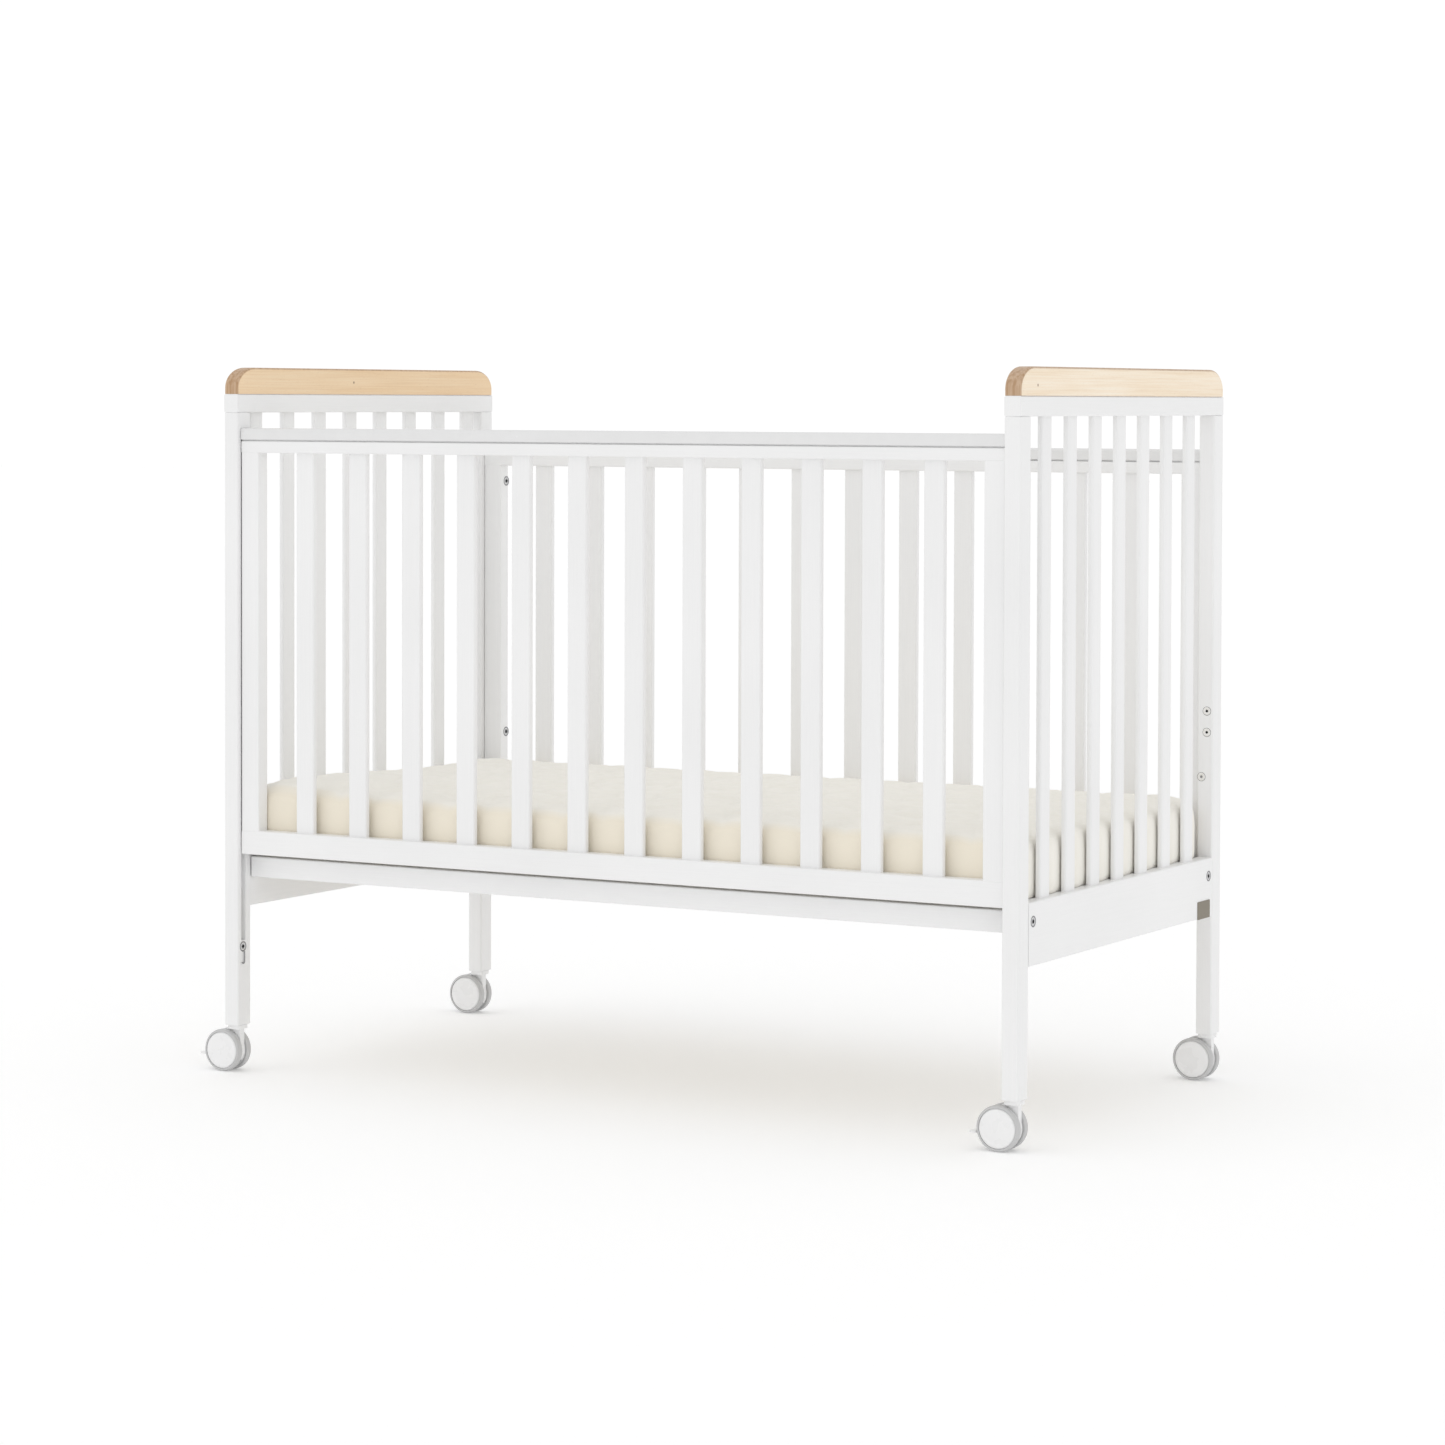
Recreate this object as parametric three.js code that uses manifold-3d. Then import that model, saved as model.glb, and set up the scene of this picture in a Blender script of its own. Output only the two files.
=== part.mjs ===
// Baby crib on casters with a drop side. Millimetres, +Z up, floor at Z 0.
// The long side runs along X, the drop side faces -Y, and the origin lies on the floor
// under the middle of everything the crib covers, trailing casters and brake levers included.

import * as THREE from 'three';
import { mergeVertices } from 'three/addons/utils/BufferGeometryUtils.js';
import Module from 'manifold-3d';

const wasm = await Module();
wasm.setup();

// Overall size of the wooden frame
const LENGTH = 1250;
const DEPTH = 664;
const FIT = 0.3; // gap kept between pieces that touch

// Radii of the rounded long edges
const POST_EDGE = 3;
const RAIL_EDGE = 2;
const END_SLAT_EDGE = 3;
const SIDE_SLAT_EDGE = 2.5;
const BATTEN_EDGE = 1;

// End panels
const END_THICK = 24; // post, rail and cap, measured along X
const POST_DEPTH = 31;
const LEG_BOTTOM = 67;
const END_RAIL_BOTTOM = 940;
const CAP_BOTTOM = 966;
const CAP_TOP = 1004;
const CAP_CORNER = 27;
const APRON_BOTTOM = 235.5;
const APRON_TOP = 318;
const APRON_THICK = 22;
const END_SLAT_WIDTH = 29;
const END_SLAT_THICK = 8;
const END_SLAT_PITCH = 78.6;
const END_SLATS = { left: 8, right: 7 };

// Drop side and fixed side
const SIDE_THICK = 22;
const SIDE_CLEAR = 1; // between the drop side and each post
const STILE_WIDTH = 30;
const SIDE_SLATS = 12;
const SIDE_SLAT_WIDTH = 30;
const SIDE_SLAT_THICK = 10;
const SIDE_SLAT_INSET = 7; // slat's outer face behind the rail's
const REAR_TENON = 4; // slats and stiles run this far into the fixed side's rails
const MOULDING_HEIGHT = 16.5;
const MOULDING_DEPTH = 24;
const MOULDING_ROUND = 6;
const MOULDING_LIP = 4; // how far the moulding stands out past its tongue
const SHADOW_GAP = 1.5; // groove between moulding and top rail
const TOP_RAIL_HEIGHT = 17;
const BOTTOM_RAIL_HEIGHT = 34;
const GATE_TOP = 918;
const GATE_BOTTOM = 312;
const GATE_FACE = 7; // drop side's front set back from the post's front
const REAR_LOWER = 26; // the fixed side sits this much lower than the raised drop side
const REAR_FACE = 1; // fixed side's back set in from the post's back

// Guide grooves for the drop side
const GROOVE_WIDTH = 10;
const GROOVE_DEEP = 8;
const GROOVE_BOTTOM = 188;
const GROOVE_TOP = 905;
const GROOVE_FACE = 13; // groove's centre, from the post's front
const PIN_RADIUS = 3.5;
const PIN_REACH = 6;
const PIN_SIDES = 16;
const STRIP_HEIGHT = 73;
const STRIP_THICK = 1.5;

// Mattress base
const BASE_RAIL_BOTTOM = 277;
const BASE_RAIL_TOP = 306.5; // leaves a dark slit under the raised drop side
const BASE_RAIL_THICK = 20;
const PLATFORM_TOP = 315;
const PLATFORM_THICK = 12;
const PLATFORM_SLAT_THICK = 10;
const PLATFORM_SLATS = 14;
const PLATFORM_BATTEN = 34; // width of battens and slats
const MATTRESS_LENGTH = 1196;
const MATTRESS_WIDTH = 598;
const MATTRESS_THICK = 86;
const MATTRESS_CORNER = 30;
const MATTRESS_SHIFT = 1; // towards the fixed side

// Twin-wheel casters
const WHEEL_RADIUS = 30;
const WHEEL_WIDTH = 11;
const WHEEL_SHOULDER = 4;
const WHEEL_INNER = 6; // inner face of each wheel, from the caster's centre plane
const WHEEL_CHAMFER = 1;
const WHEEL_SIDES = 32;
const CASTER_TRAIL = 17;
const AXLE_RADIUS = 3.5;
const HOOD_RADIUS = 26.5;
const HOOD_WIDTH = 10;
const HOOD_FRONT = 8; // front edge, ahead of the leg's axis
const HOOD_BACK = 12; // where the curved back meets the top, behind the leg's axis
const HOOD_RIM = 13; // width of the curved back
const HOOD_BELLY = [[-7, -11], [12, -15]]; // lower outline, from the axle
const HOOD_BACK_ARC = { from: Math.PI * 0.56, to: Math.PI };
const HOOD_FRONT_ARC = { from: -Math.PI * 0.19, to: Math.PI * 0.09 };
const HOOD_BORE = AXLE_RADIUS + 0.5;
const CASTER_PLATE = 5;
const PLATE_MARGIN = { x: 2, y: 9 }; // plate smaller than the leg's end
const PLATE_OVERLAP = 1; // plate sinks this far into the hood
const PLATE_CORNER = 4;
const LEVER_REACH = 43; // paddle's tip, behind the axle
const LEVER_DROP = 8; // brake lever's height below the axle
const LEVER_THICK = 3.2;
const LEVER_ARM = { length: 15, width: 5 };
const LEVER_PADDLE = { length: 9, width: 16 };
const LEVER_EDGE = 1;
const LEVER_OVERLAP = 2; // arm runs this far into the paddle

// Places worked out from the sizes above
const HALF_X = LENGTH / 2;
const HALF_Y = DEPTH / 2;
const INNER_X = HALF_X - END_THICK;
const POST_X = HALF_X - END_THICK / 2;
const POST_Y = HALF_Y - POST_DEPTH / 2;
const POST_INNER_Y = HALF_Y - POST_DEPTH;
const OVERHANG = CASTER_TRAIL + LEVER_REACH - END_THICK / 2;
const FRAME_X = OVERHANG / 2;

const MATERIALS = {
  lacquer: new THREE.MeshStandardMaterial({ color: 0xf4f4f2, roughness: 0.38, metalness: 0 }),
  timber: new THREE.MeshStandardMaterial({ color: 0xe3c193, roughness: 0.5, metalness: 0 }),
  fabric: new THREE.MeshStandardMaterial({ color: 0xf1ebdc, roughness: 0.9, metalness: 0 }),
  plastic: new THREE.MeshStandardMaterial({ color: 0xf2f2f2, roughness: 0.3, metalness: 0 }),
  tread: new THREE.MeshStandardMaterial({ color: 0xc4c4c4, roughness: 0.55, metalness: 0 }),
  plywood: new THREE.MeshStandardMaterial({ color: 0xdcc7a2, roughness: 0.6, metalness: 0 }),
};

// A rectangle with rounded corners, centred on the origin.
function roundedRectangle(width, height, radius) {
  const x = width / 2;
  const y = height / 2;
  const shape = new THREE.Shape();
  shape.absarc(x - radius, y - radius, radius, 0, Math.PI / 2);
  shape.absarc(-x + radius, y - radius, radius, Math.PI / 2, Math.PI);
  shape.absarc(-x + radius, -y + radius, radius, Math.PI, 1.5 * Math.PI);
  shape.absarc(x - radius, -y + radius, radius, 1.5 * Math.PI, 2 * Math.PI);
  shape.closePath();
  return shape;
}

// An outline given thickness along Z and centred on it.
function extrude(shape, depth, curveSegments = 3) {
  const geometry = new THREE.ExtrudeGeometry(shape, { depth, curveSegments, bevelEnabled: false });
  return geometry.translate(0, 0, -depth / 2);
}

// Straight bars with rounded long edges, named after the axis that they run along.
function barZ(sizeX, sizeY, length, radius) {
  return extrude(roundedRectangle(sizeX, sizeY, radius), length);
}

function barX(length, sizeY, sizeZ, radius) {
  return extrude(roundedRectangle(sizeZ, sizeY, radius), length).rotateY(Math.PI / 2);
}

function barY(sizeX, length, sizeZ, radius) {
  return extrude(roundedRectangle(sizeX, sizeZ, radius), length).rotateX(Math.PI / 2);
}

// Conversion to and from solids that can be joined and cut.
function toSolid(geometry) {
  const plain = geometry.clone();
  plain.deleteAttribute('normal');
  plain.deleteAttribute('uv');
  const merged = mergeVertices(plain, 1e-4);
  return new wasm.Manifold(new wasm.Mesh({
    numProp: 3,
    vertProperties: new Float32Array(merged.attributes.position.array),
    triVerts: new Uint32Array(merged.index.array),
  }));
}

function toGeometry(solid) {
  const mesh = solid.getMesh();
  const geometry = new THREE.BufferGeometry();
  geometry.setAttribute('position', new THREE.BufferAttribute(new Float32Array(mesh.vertProperties), 3));
  geometry.setIndex(new THREE.BufferAttribute(new Uint32Array(mesh.triVerts), 1));
  geometry.computeVertexNormals();
  return geometry;
}

function join(...geometries) {
  return toGeometry(geometries.map(toSolid).reduce((whole, piece) => whole.add(piece)));
}

function cut(geometry, ...tools) {
  return toGeometry(tools.map(toSolid).reduce((rest, tool) => rest.subtract(tool), toSolid(geometry)));
}

function piece(name, geometry, material, x = 0, y = 0, z = 0) {
  const mesh = new THREE.Mesh(geometry, material);
  mesh.name = name;
  mesh.position.set(x, y, z);
  return mesh;
}

function middle(low, high) {
  return (low + high) / 2;
}

// ---- End panels -------------------------------------------------------------------------

function makePost(end, side) {
  const height = END_RAIL_BOTTOM - FIT - LEG_BOTTOM;
  const centreZ = LEG_BOTTOM + height / 2;
  let geometry = barZ(END_THICK, POST_DEPTH, height, POST_EDGE);
  if (side.name === 'front') {
    const groove = new THREE.BoxGeometry(2 * GROOVE_DEEP, GROOVE_WIDTH, GROOVE_TOP - GROOVE_BOTTOM);
    groove.translate(
      -end.sign * END_THICK / 2,
      GROOVE_FACE - POST_DEPTH / 2,
      middle(GROOVE_BOTTOM, GROOVE_TOP) - centreZ,
    );
    geometry = cut(geometry, groove);
  }
  const name = `post_${side.name}_${end.name}`;
  return piece(name, geometry, MATERIALS.lacquer, end.sign * POST_X, side.sign * POST_Y, centreZ);
}

// The solid-wood board on top, its two upper corners rounded in side view.
function capGeometry() {
  const height = CAP_TOP - CAP_BOTTOM - FIT;
  const shape = new THREE.Shape();
  shape.moveTo(-HALF_Y, 0);
  shape.lineTo(HALF_Y, 0);
  shape.lineTo(HALF_Y, height - CAP_CORNER);
  shape.absarc(HALF_Y - CAP_CORNER, height - CAP_CORNER, CAP_CORNER, 0, Math.PI / 2);
  shape.lineTo(-HALF_Y + CAP_CORNER, height);
  shape.absarc(-HALF_Y + CAP_CORNER, height - CAP_CORNER, CAP_CORNER, Math.PI / 2, Math.PI);
  shape.closePath();
  return extrude(shape, END_THICK, 8).rotateX(Math.PI / 2).rotateZ(Math.PI / 2);
}

function makeEndPanel(end) {
  const group = new THREE.Group();
  const x = end.sign * POST_X;
  for (const side of SIDES) {
    group.add(makePost(end, side));
  }
  const railHeight = CAP_BOTTOM - END_RAIL_BOTTOM;
  const rail = barY(END_THICK, DEPTH, railHeight, RAIL_EDGE);
  const railZ = middle(END_RAIL_BOTTOM, CAP_BOTTOM);
  group.add(piece(`end_top_rail_${end.name}`, rail, MATERIALS.lacquer, x, 0, railZ));
  group.add(piece(`cap_${end.name}`, capGeometry(), MATERIALS.timber, x, 0, CAP_BOTTOM + FIT));

  const apronLength = 2 * (POST_INNER_Y - FIT);
  const apron = barY(APRON_THICK, apronLength, APRON_TOP - APRON_BOTTOM, RAIL_EDGE);
  const apronX = end.sign * (HALF_X - APRON_THICK / 2);
  const apronZ = middle(APRON_BOTTOM, APRON_TOP);
  group.add(piece(`apron_${end.name}`, apron, MATERIALS.lacquer, apronX, 0, apronZ));

  const slatHeight = END_RAIL_BOTTOM - APRON_TOP - 2 * FIT;
  const count = END_SLATS[end.name];
  for (let i = 0; i < count; i += 1) {
    const y = (i - (count - 1) / 2) * END_SLAT_PITCH;
    const slat = barZ(END_SLAT_THICK, END_SLAT_WIDTH, slatHeight, END_SLAT_EDGE);
    const name = `end_slat_${end.name}_${i + 1}`;
    group.add(piece(name, slat, MATERIALS.lacquer, x, y, middle(APRON_TOP, END_RAIL_BOTTOM)));
  }
  return group;
}

// ---- The two long sides -----------------------------------------------------------------

// Heights of a long side, measured from its own bottom edge.
const SIDE_HEIGHT = GATE_TOP - GATE_BOTTOM;
const MOULDING_LOW = SIDE_HEIGHT - MOULDING_HEIGHT;
const TOP_RAIL_TOP = MOULDING_LOW - SHADOW_GAP;
const TOP_RAIL_LOW = TOP_RAIL_TOP - TOP_RAIL_HEIGHT;
const OPENING_HEIGHT = TOP_RAIL_LOW - BOTTOM_RAIL_HEIGHT;
const OPENING_MIDDLE = middle(BOTTOM_RAIL_HEIGHT, TOP_RAIL_LOW);
const TOP_RAIL_MIDDLE = middle(TOP_RAIL_LOW, TOP_RAIL_TOP);

// Equal gaps between the stiles and the slats.
function slatX(i, halfLength) {
  const opening = 2 * (halfLength - STILE_WIDTH);
  const gap = (opening - SIDE_SLATS * SIDE_SLAT_WIDTH) / (SIDE_SLATS + 1);
  return -opening / 2 + gap + SIDE_SLAT_WIDTH / 2 + i * (gap + SIDE_SLAT_WIDTH);
}

// Rounded teething strip with a narrow tongue that leaves a shadow groove over the rail.
function mouldingGeometry(halfLength) {
  const y = MOULDING_DEPTH / 2;
  const round = MOULDING_ROUND;
  const tongue = y - MOULDING_LIP;
  const shape = new THREE.Shape();
  shape.moveTo(-tongue, FIT - SHADOW_GAP);
  shape.lineTo(tongue, FIT - SHADOW_GAP);
  shape.lineTo(tongue, 0);
  shape.lineTo(y, 0);
  shape.lineTo(y, MOULDING_HEIGHT - round);
  shape.absarc(y - round, MOULDING_HEIGHT - round, round, 0, Math.PI / 2);
  shape.absarc(-y + round, MOULDING_HEIGHT - round, round, Math.PI / 2, Math.PI);
  shape.lineTo(-y, 0);
  shape.lineTo(-tongue, 0);
  shape.closePath();
  return extrude(shape, 2 * halfLength, 4).rotateX(Math.PI / 2).rotateZ(Math.PI / 2);
}

// A guide pin at each end of a drop-side rail, running in the posts' grooves.
function withPins(rail, halfLength, pinY) {
  const length = 2 * (halfLength + PIN_REACH);
  const pins = new THREE.CylinderGeometry(PIN_RADIUS, PIN_RADIUS, length, PIN_SIDES);
  pins.rotateZ(Math.PI / 2).translate(0, pinY, 0);
  return join(rail, pins);
}

function makeGate() {
  const group = new THREE.Group();
  group.position.set(0, -HALF_Y + GATE_FACE + SIDE_THICK / 2, GATE_BOTTOM);
  const half = INNER_X - SIDE_CLEAR;
  const pinY = GROOVE_FACE - GATE_FACE - SIDE_THICK / 2;
  const slatY = SIDE_SLAT_THICK / 2 + SIDE_SLAT_INSET - SIDE_THICK / 2;

  group.add(piece('gate_moulding', mouldingGeometry(half), MATERIALS.plastic, 0, 0, MOULDING_LOW));
  const topRail = withPins(barX(2 * half, SIDE_THICK, TOP_RAIL_HEIGHT, RAIL_EDGE), half, pinY);
  group.add(piece('gate_top_rail', topRail, MATERIALS.lacquer, 0, 0, TOP_RAIL_MIDDLE));
  const bottomRail = withPins(barX(2 * half, SIDE_THICK, BOTTOM_RAIL_HEIGHT, RAIL_EDGE), half, pinY);
  group.add(piece('gate_bottom_rail', bottomRail, MATERIALS.lacquer, 0, 0, BOTTOM_RAIL_HEIGHT / 2));

  const height = OPENING_HEIGHT - 2 * FIT;
  for (const end of ENDS) {
    const stile = barZ(STILE_WIDTH, SIDE_THICK, height, RAIL_EDGE);
    const x = end.sign * (half - STILE_WIDTH / 2);
    group.add(piece(`gate_stile_${end.name}`, stile, MATERIALS.lacquer, x, 0, OPENING_MIDDLE));
  }
  for (let i = 0; i < SIDE_SLATS; i += 1) {
    const slat = barZ(SIDE_SLAT_WIDTH, SIDE_SLAT_THICK, height, SIDE_SLAT_EDGE);
    const x = slatX(i, half);
    group.add(piece(`gate_slat_${i + 1}`, slat, MATERIALS.lacquer, x, slatY, OPENING_MIDDLE));
  }
  return group;
}

// The fixed side: rails, stiles and slats glued up as one frame, with its own moulding.
function makeRearSide() {
  const group = new THREE.Group();
  group.position.set(0, HALF_Y - REAR_FACE - SIDE_THICK / 2, GATE_BOTTOM - REAR_LOWER);
  const half = INNER_X - FIT;
  const slatY = SIDE_THICK / 2 - SIDE_SLAT_INSET - SIDE_SLAT_THICK / 2;

  const upright = OPENING_HEIGHT + 2 * REAR_TENON;

  const topRail = barX(2 * half, SIDE_THICK, TOP_RAIL_HEIGHT, RAIL_EDGE);
  const bottomRail = barX(2 * half, SIDE_THICK, BOTTOM_RAIL_HEIGHT, RAIL_EDGE);
  const parts = [
    topRail.translate(0, 0, TOP_RAIL_MIDDLE),
    bottomRail.translate(0, 0, BOTTOM_RAIL_HEIGHT / 2),
  ];
  for (const end of ENDS) {
    const stile = barZ(STILE_WIDTH, SIDE_THICK, upright, RAIL_EDGE);
    parts.push(stile.translate(end.sign * (half - STILE_WIDTH / 2), 0, OPENING_MIDDLE));
  }
  for (let i = 0; i < SIDE_SLATS; i += 1) {
    const slat = barZ(SIDE_SLAT_WIDTH, SIDE_SLAT_THICK, upright, SIDE_SLAT_EDGE);
    parts.push(slat.translate(slatX(i, half), slatY, OPENING_MIDDLE));
  }
  group.add(piece('rear_side_frame', join(...parts), MATERIALS.lacquer));
  group.add(piece('rear_moulding', mouldingGeometry(half), MATERIALS.plastic, 0, 0, MOULDING_LOW));
  return group;
}

// ---- Guide strips -----------------------------------------------------------------------

// Thin plastic strip on the floor of each groove, at the bottom of the drop side's travel.
function makeGuideStrip(end) {
  const strip = new THREE.BoxGeometry(STRIP_THICK, GROOVE_WIDTH - 2 * FIT, STRIP_HEIGHT);
  const x = end.sign * (INNER_X + GROOVE_DEEP - FIT - STRIP_THICK / 2);
  const z = GROOVE_BOTTOM + FIT + STRIP_HEIGHT / 2;
  return piece(`guide_strip_${end.name}`, strip, MATERIALS.plastic, x, -HALF_Y + GROOVE_FACE, z);
}

// ---- Mattress and its base --------------------------------------------------------------

// Cross slats glued between two long battens.
function platformGeometry(length, width) {
  const batten = PLATFORM_BATTEN;
  const y = (width - batten) / 2;
  const parts = [-y, y].map((place) => {
    return barX(length, batten, PLATFORM_THICK, BATTEN_EDGE).translate(0, place, 0);
  });
  const pitch = (length - batten) / (PLATFORM_SLATS - 1);
  for (let i = 0; i < PLATFORM_SLATS; i += 1) {
    const slat = new THREE.BoxGeometry(batten, width - batten, PLATFORM_SLAT_THICK);
    parts.push(slat.translate((batten - length) / 2 + i * pitch, 0, 0));
  }
  return join(...parts);
}

function makeBase() {
  const group = new THREE.Group();
  const length = 2 * (INNER_X - FIT);
  const height = BASE_RAIL_TOP - BASE_RAIL_BOTTOM;
  for (const side of SIDES) {
    const rail = barX(length, BASE_RAIL_THICK, height, RAIL_EDGE);
    const y = side.sign * (POST_INNER_Y - FIT - BASE_RAIL_THICK / 2);
    const z = middle(BASE_RAIL_BOTTOM, BASE_RAIL_TOP);
    group.add(piece(`base_rail_${side.name}`, rail, MATERIALS.lacquer, 0, y, z));
  }
  const width = 2 * (POST_INNER_Y - BASE_RAIL_THICK - 2 * FIT);
  const platform = platformGeometry(length, width);
  const platformZ = PLATFORM_TOP - PLATFORM_THICK / 2;
  group.add(piece('mattress_platform', platform, MATERIALS.plywood, 0, 0, platformZ));
  const outline = roundedRectangle(MATTRESS_LENGTH, MATTRESS_WIDTH, MATTRESS_CORNER);
  const mattress = extrude(outline, MATTRESS_THICK, 5);
  const mattressZ = PLATFORM_TOP + FIT + MATTRESS_THICK / 2;
  group.add(piece('mattress', mattress, MATERIALS.fabric, 0, MATTRESS_SHIFT, mattressZ));
  return group;
}

// ---- Casters ----------------------------------------------------------------------------

// Both wheels and the axle between them, turned about the axle.
function wheelPairGeometry() {
  const outer = WHEEL_INNER + WHEEL_WIDTH;
  const s = WHEEL_SHOULDER;
  const profile = [[0, -outer]];
  const corner = (radius, y, from) => {
    for (let i = 0; i <= 3; i += 1) {
      const angle = from + (i * Math.PI) / 6;
      profile.push([radius + s * Math.cos(angle), y + s * Math.sin(angle)]);
    }
  };
  corner(WHEEL_RADIUS - s, -outer + s, -Math.PI / 2);
  profile.push([WHEEL_RADIUS, -WHEEL_INNER - WHEEL_CHAMFER]);
  profile.push([WHEEL_RADIUS - WHEEL_CHAMFER, -WHEEL_INNER]);
  profile.push([AXLE_RADIUS, -WHEEL_INNER]);
  profile.push([AXLE_RADIUS, WHEEL_INNER]);
  profile.push([WHEEL_RADIUS - WHEEL_CHAMFER, WHEEL_INNER]);
  profile.push([WHEEL_RADIUS, WHEEL_INNER + WHEEL_CHAMFER]);
  corner(WHEEL_RADIUS - s, outer - s, 0);
  profile.push([0, outer]);
  const points = profile.map(([radius, y]) => new THREE.Vector2(radius, y));
  return new THREE.LatheGeometry(points, WHEEL_SIDES);
}

// Fork body between the wheels: a rounded hood over the front and top, bored for the axle.
function hoodGeometry() {
  const shape = new THREE.Shape();
  const rise = LEG_BOTTOM - FIT - CASTER_PLATE - WHEEL_RADIUS;
  shape.moveTo(CASTER_TRAIL + HOOD_FRONT, rise);
  shape.lineTo(CASTER_TRAIL - HOOD_BACK, rise);
  shape.absarc(0, 0, HOOD_RADIUS, HOOD_BACK_ARC.from, HOOD_BACK_ARC.to, false);
  shape.lineTo(-HOOD_RADIUS + HOOD_RIM, 0);
  for (const [x, y] of HOOD_BELLY) {
    shape.lineTo(x, y);
  }
  shape.absarc(0, 0, HOOD_RADIUS, HOOD_FRONT_ARC.from, HOOD_FRONT_ARC.to, false);
  shape.closePath();
  const bore = new THREE.Path();
  bore.absarc(0, 0, HOOD_BORE, 0, 2 * Math.PI, true);
  shape.holes.push(bore);
  const body = extrude(shape, HOOD_WIDTH, 8).rotateX(Math.PI / 2);
  const plateX = END_THICK - PLATE_MARGIN.x;
  const plateY = POST_DEPTH - PLATE_MARGIN.y;
  const plate = barZ(plateX, plateY, CASTER_PLATE + PLATE_OVERLAP, PLATE_CORNER);
  plate.translate(CASTER_TRAIL, 0, rise + (CASTER_PLATE - PLATE_OVERLAP) / 2);
  return join(body, plate);
}

// Brake lever: a thin arm between the wheels with a wider foot paddle behind them.
function leverGeometry() {
  const part = ({ length, width }, tipX) => {
    const bar = barX(length, width, LEVER_THICK, LEVER_EDGE);
    return bar.translate(tipX + length / 2, 0, -LEVER_DROP);
  };
  return join(
    part(LEVER_PADDLE, -LEVER_REACH),
    part(LEVER_ARM, -LEVER_REACH + LEVER_PADDLE.length - LEVER_OVERLAP),
  );
}

function makeCaster(end, side) {
  const tag = `${side.name}_${end.name}`;
  const group = new THREE.Group();
  group.position.set(end.sign * POST_X - CASTER_TRAIL, side.sign * POST_Y, WHEEL_RADIUS);
  group.add(piece(`caster_hood_${tag}`, hoodGeometry(), MATERIALS.plastic));
  group.add(piece(`caster_wheels_${tag}`, wheelPairGeometry(), MATERIALS.tread));
  if (side.name === 'front') {
    group.add(piece(`brake_lever_${tag}`, leverGeometry(), MATERIALS.plastic));
  }
  return group;
}

// ---- Assembly ---------------------------------------------------------------------------

const ENDS = [{ name: 'left', sign: -1 }, { name: 'right', sign: 1 }];
const SIDES = [{ name: 'front', sign: -1 }, { name: 'rear', sign: 1 }];

const crib = new THREE.Group();
crib.name = 'baby_crib';
crib.position.x = FRAME_X;
for (const end of ENDS) {
  crib.add(makeEndPanel(end));
  crib.add(makeGuideStrip(end));
  for (const side of SIDES) {
    crib.add(makeCaster(end, side));
  }
}
crib.add(makeGate());
crib.add(makeRearSide());
crib.add(makeBase());

export default crib;
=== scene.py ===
"""Baby crib on casters with a drop side: the finished pieces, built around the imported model."""

import math

import bmesh
import bpy
from bpy.props import FloatProperty, FloatVectorProperty, PointerProperty, StringProperty
from mathutils import Matrix, Vector


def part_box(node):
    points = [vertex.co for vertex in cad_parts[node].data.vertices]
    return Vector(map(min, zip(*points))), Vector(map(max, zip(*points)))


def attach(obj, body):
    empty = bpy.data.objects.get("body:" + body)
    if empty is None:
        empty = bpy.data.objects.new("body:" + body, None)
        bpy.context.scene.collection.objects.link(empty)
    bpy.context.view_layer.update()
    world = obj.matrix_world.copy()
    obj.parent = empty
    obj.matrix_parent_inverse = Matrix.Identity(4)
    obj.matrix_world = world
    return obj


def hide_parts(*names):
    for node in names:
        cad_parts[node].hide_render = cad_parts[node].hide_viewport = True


bl_info = {
    "name": "Baby crib",
    "version": (1, 0, 0),
    "blender": (4, 5, 0),
    "location": "View3D > Sidebar > Crib",
    "description": "Builds a white drop-side crib with timber caps, a quilted mattress and casters",
    "category": "Object",
}

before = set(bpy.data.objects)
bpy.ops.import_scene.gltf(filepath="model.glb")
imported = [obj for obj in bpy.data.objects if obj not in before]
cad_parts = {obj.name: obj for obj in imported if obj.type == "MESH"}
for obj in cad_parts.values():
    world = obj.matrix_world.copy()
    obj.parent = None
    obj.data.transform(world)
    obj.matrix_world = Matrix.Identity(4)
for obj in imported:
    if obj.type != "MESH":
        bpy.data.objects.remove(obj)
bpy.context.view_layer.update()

X, Y, Z = 0, 1, 2
ENDS = ("left", "right")
SIDES = ("front", "rear")
CORNERS = [(side, end) for side in SIDES for end in ENDS]

# Every length below is in metres, and every place is in the frame's own axes.
SIDE_SLATS = 12
PLATFORM_SLATS = 14
TENON = 0.0012
REAR_STILE = 0.030
GROOVE_TOP = 0.905
GROOVE_DEPTH = 0.008
APRON_BOLT_Z = 0.293
STILE_BOLT_Z = {"upper": 0.833, "lower": 0.4425}
STILE_BOLT_IN = 0.006
# Each insert's shift from the post's centre line, and its height.
POST_INSERTS = {"high": (0.0025, 0.524), "middle": (0.0025, 0.494), "low": (-0.0053, 0.431)}
PIN_KNOTS = ((-0.577, -0.045, 0.984), (0.649, -0.282, 0.980))

KEY_FROM = (-0.30, -0.50, 0.81)
CAMERA_PLACE = (2.8483, -4.9638, 0.9600)
CAMERA_HEADING = 0.5171
CAMERA_DIP = 0.0290
CAMERA_ROLL = 0.0029
CAMERA_SHIFT = -0.1423


# ---- Sizes and colours ------------------------------------------------------------------


def colour(name, code, about):
    """A property that holds a finish's colour as an sRGB hex code."""
    return StringProperty(name=name, description=about, default=code)


def length(name, metres, about):
    """A property that holds a length."""
    return FloatProperty(name=name, description=about, default=metres, unit="LENGTH")


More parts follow.
